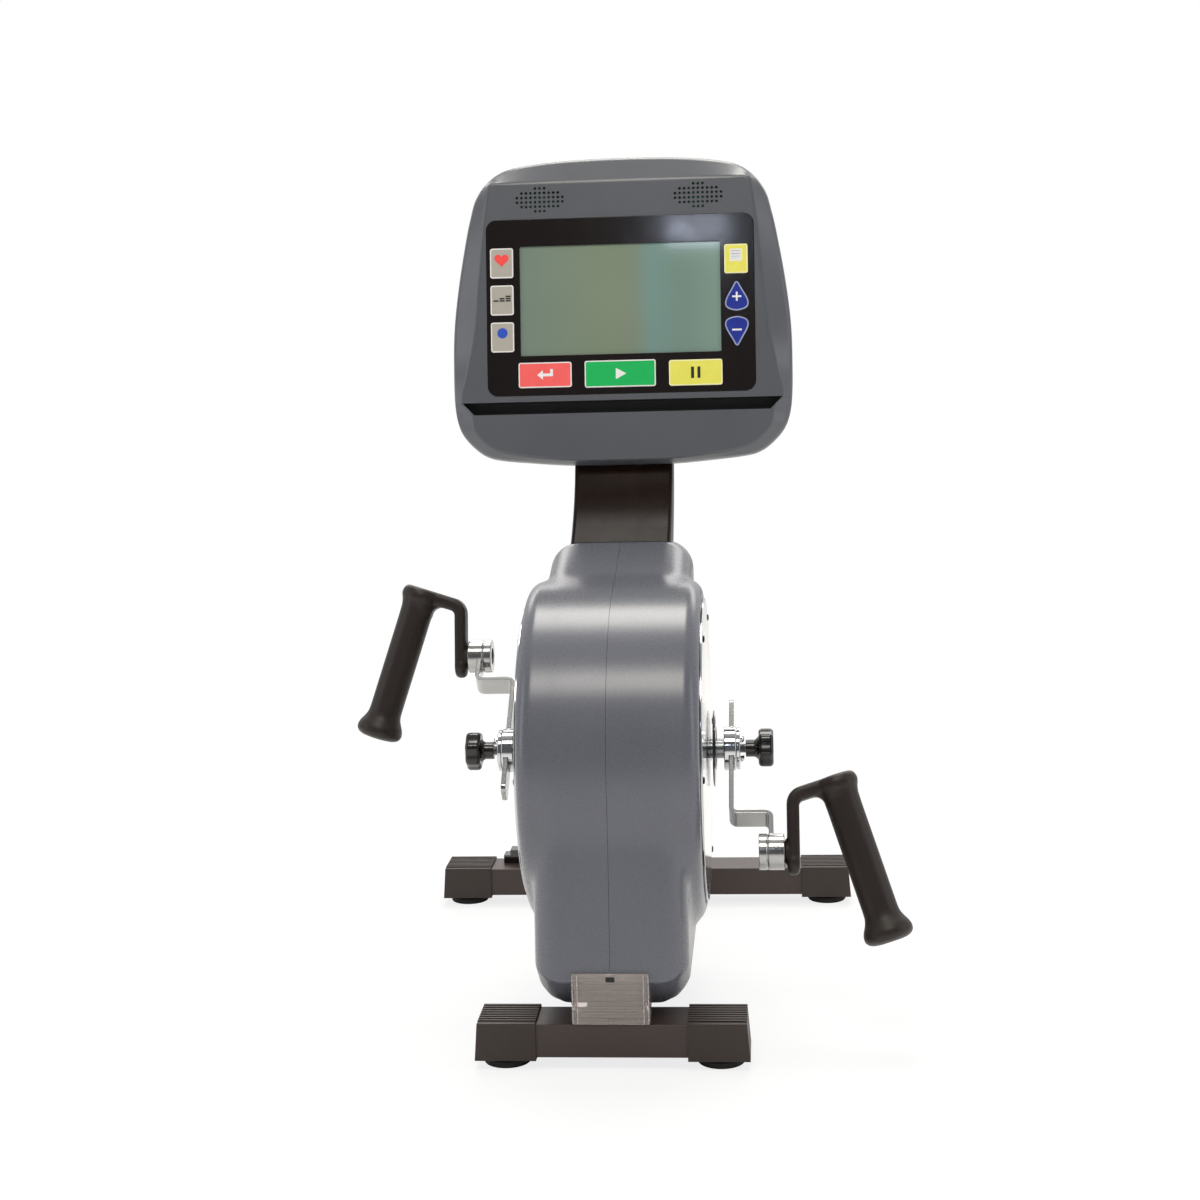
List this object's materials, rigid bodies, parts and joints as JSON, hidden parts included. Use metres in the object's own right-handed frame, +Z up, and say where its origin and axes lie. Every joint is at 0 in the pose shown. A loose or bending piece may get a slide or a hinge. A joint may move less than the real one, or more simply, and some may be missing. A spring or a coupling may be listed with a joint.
{
  "type": "arm ergometer",
  "caption": "Floor-standing arm ergometer: swinging hand grips on sliding cranks turn a belt-driven flywheel with a magnetic brake, under a tilted keyed console on a short neck.",
  "frame": {"origin": "on the floor under the middle of the base", "axes": "+X to the right as the user faces the machine, +Y away from the user, +Z up; the crank axle is along X"},
  "size_m": [0.6056, 0.634, 0.9257],
  "materials": {
    "frame": "dark brown-grey enamel, satin",
    "rubber": "black moulded rubber, matte",
    "housing": "blue-grey moulded plastic, satin",
    "console": "grey moulded plastic, fine grain",
    "silver": "polished, mirror-bright",
    "chrome": "plated, polished",
    "steel": "turned",
    "iron": "turned and painted",
    "pulley": "turned",
    "gloss": "black, high gloss",
    "coated": "dark dipped coating over steel, satin",
    "grip": "dark soft coating, satin",
    "clear": "smoky clear, ribbed",
    "display": "grey-green display glass",
    "board": "circuit board lacquer",
    "key_grey": "satin",
    "key_red": "satin",
    "key_green": "satin",
    "key_yellow": "satin",
    "key_blue": "gloss"
  },
  "bodies": {
    "frame": {"front_base_tube": "frame", "rear_base_tube": "frame", "front_left_end_cap": "rubber", "front_right_end_cap": "rubber", "rear_left_end_cap": "rubber", "rear_right_end_cap": "rubber", "front_left_foot": "rubber", "front_right_foot": "rubber", "rear_left_foot": "rubber", "rear_right_foot": "rubber", "power_inlet": "gloss", "spine_tube": "frame", "front_base_bolt": "steel", "rear_base_bolt": "steel", "main_post": "frame", "axle_cartridge": "steel", "shaft_cartridge": "steel", "mast_tube": "frame", "housing_left_shell": "housing", "housing_right_shell": "housing", "left_side_cover": "silver", "right_side_cover": "silver", "clear_ribbed_cover": "clear", "drive_belt": "rubber", "brake_servo": "gloss", "neck_cover": "gloss", "console_front_shell": "console", "console_rear_shell": "console", "display_overlay": "gloss", "display_module": "display", "console_board": "board"},
    "crank": {"crank_axle": "steel", "drive_pulley": "pulley", "left_flange_disc": "gloss", "right_flange_disc": "gloss", "left_hub_body": "chrome", "right_hub_body": "chrome", "left_hub_plate": "chrome", "right_hub_plate": "chrome"},
    "flywheel_set": {"flywheel": "iron", "flywheel_shaft": "steel"},
    "brake": {"brake_yoke": "steel", "brake_magnets": "steel"},
    "left_arm": {"left_crank_arm": "chrome"},
    "right_arm": {"right_crank_arm": "chrome"},
    "left_handle": {"left_handle_rod": "coated", "left_hand_grip": "grip"},
    "right_handle": {"right_handle_rod": "coated", "right_hand_grip": "grip"},
    "left_knob": {"left_lock_knob": "gloss"},
    "right_knob": {"right_lock_knob": "gloss"},
    "heart_key": {"key_heart": "key_grey"},
    "bars_key": {"key_bars": "key_grey"},
    "dot_key": {"key_dot": "key_grey"},
    "list_key": {"key_list": "key_yellow"},
    "plus_key": {"key_plus": "key_blue"},
    "minus_key": {"key_minus": "key_blue"},
    "return_key": {"key_return": "key_red"},
    "play_key": {"key_play": "key_green"},
    "pause_key": {"key_pause": "key_yellow"}
  },
  "joints": [
    {"name": "crank_spin", "type": "hinge", "parent": "frame", "child": "crank", "pos_m": [0, -0.1154, 0.2838], "axis": [1, 0, 0], "continuous": true},
    {"name": "flywheel_spin", "type": "hinge", "parent": "frame", "child": "flywheel_set", "pos_m": [0, -0.0454, 0.2128], "axis": [1, 0, 0], "continuous": true},
    {"name": "left_arm_slide", "type": "slide", "parent": "crank", "child": "left_arm", "axis": [0, 0.7683, 0.6401], "range_m": [-0.05, 0.04]},
    {"name": "right_arm_slide", "type": "slide", "parent": "crank", "child": "right_arm", "axis": [0, -0.7683, -0.6401], "range_m": [-0.05, 0.04]},
    {"name": "left_handle_spin", "type": "hinge", "parent": "left_arm", "child": "left_handle", "pos_m": [-0.1613, -0.01199, 0.36996], "axis": [1, 0, 0], "continuous": true},
    {"name": "right_handle_spin", "type": "hinge", "parent": "right_arm", "child": "right_handle", "pos_m": [0.1613, -0.21881, 0.19764], "axis": [1, 0, 0], "continuous": true},
    {"name": "left_knob_turn", "type": "hinge", "parent": "crank", "child": "left_knob", "pos_m": [-0.157, -0.1154, 0.2838], "axis": [-1, 0, 0], "range_deg": [0, 270]},
    {"name": "right_knob_turn", "type": "hinge", "parent": "crank", "child": "right_knob", "pos_m": [0.157, -0.1154, 0.2838], "axis": [1, 0, 0], "range_deg": [0, 270]},
    {"name": "brake_swing", "type": "hinge", "parent": "frame", "child": "brake", "pos_m": [-0.06, -0.12935, 0.1995], "axis": [-1, 0, 0], "range_deg": [0, 6]},
    {"name": "heart_key_press", "type": "slide", "parent": "frame", "child": "heart_key", "axis": [0, 0.9877, -0.1564], "range_m": [0, 0.0006], "stiffness_N_per_m": 400, "springref_m": -0.0005},
    {"name": "bars_key_press", "type": "slide", "parent": "frame", "child": "bars_key", "axis": [0, 0.9877, -0.1564], "range_m": [0, 0.0006], "stiffness_N_per_m": 400, "springref_m": -0.0005},
    {"name": "dot_key_press", "type": "slide", "parent": "frame", "child": "dot_key", "axis": [0, 0.9877, -0.1564], "range_m": [0, 0.0006], "stiffness_N_per_m": 400, "springref_m": -0.0005},
    {"name": "list_key_press", "type": "slide", "parent": "frame", "child": "list_key", "axis": [0, 0.9877, -0.1564], "range_m": [0, 0.0006], "stiffness_N_per_m": 400, "springref_m": -0.0005},
    {"name": "plus_key_press", "type": "slide", "parent": "frame", "child": "plus_key", "axis": [0, 0.9877, -0.1564], "range_m": [0, 0.0006], "stiffness_N_per_m": 400, "springref_m": -0.0005},
    {"name": "minus_key_press", "type": "slide", "parent": "frame", "child": "minus_key", "axis": [0, 0.9877, -0.1564], "range_m": [0, 0.0006], "stiffness_N_per_m": 400, "springref_m": -0.0005},
    {"name": "return_key_press", "type": "slide", "parent": "frame", "child": "return_key", "axis": [0, 0.9877, -0.1564], "range_m": [0, 0.0006], "stiffness_N_per_m": 400, "springref_m": -0.0005},
    {"name": "play_key_press", "type": "slide", "parent": "frame", "child": "play_key", "axis": [0, 0.9877, -0.1564], "range_m": [0, 0.0006], "stiffness_N_per_m": 400, "springref_m": -0.0005},
    {"name": "pause_key_press", "type": "slide", "parent": "frame", "child": "pause_key", "axis": [0, 0.9877, -0.1564], "range_m": [0, 0.0006], "stiffness_N_per_m": 400, "springref_m": -0.0005}
  ],
  "couplings": [
    {"joint": "flywheel_spin", "follows": "crank_spin", "ratio": 4.5882}
  ]
}
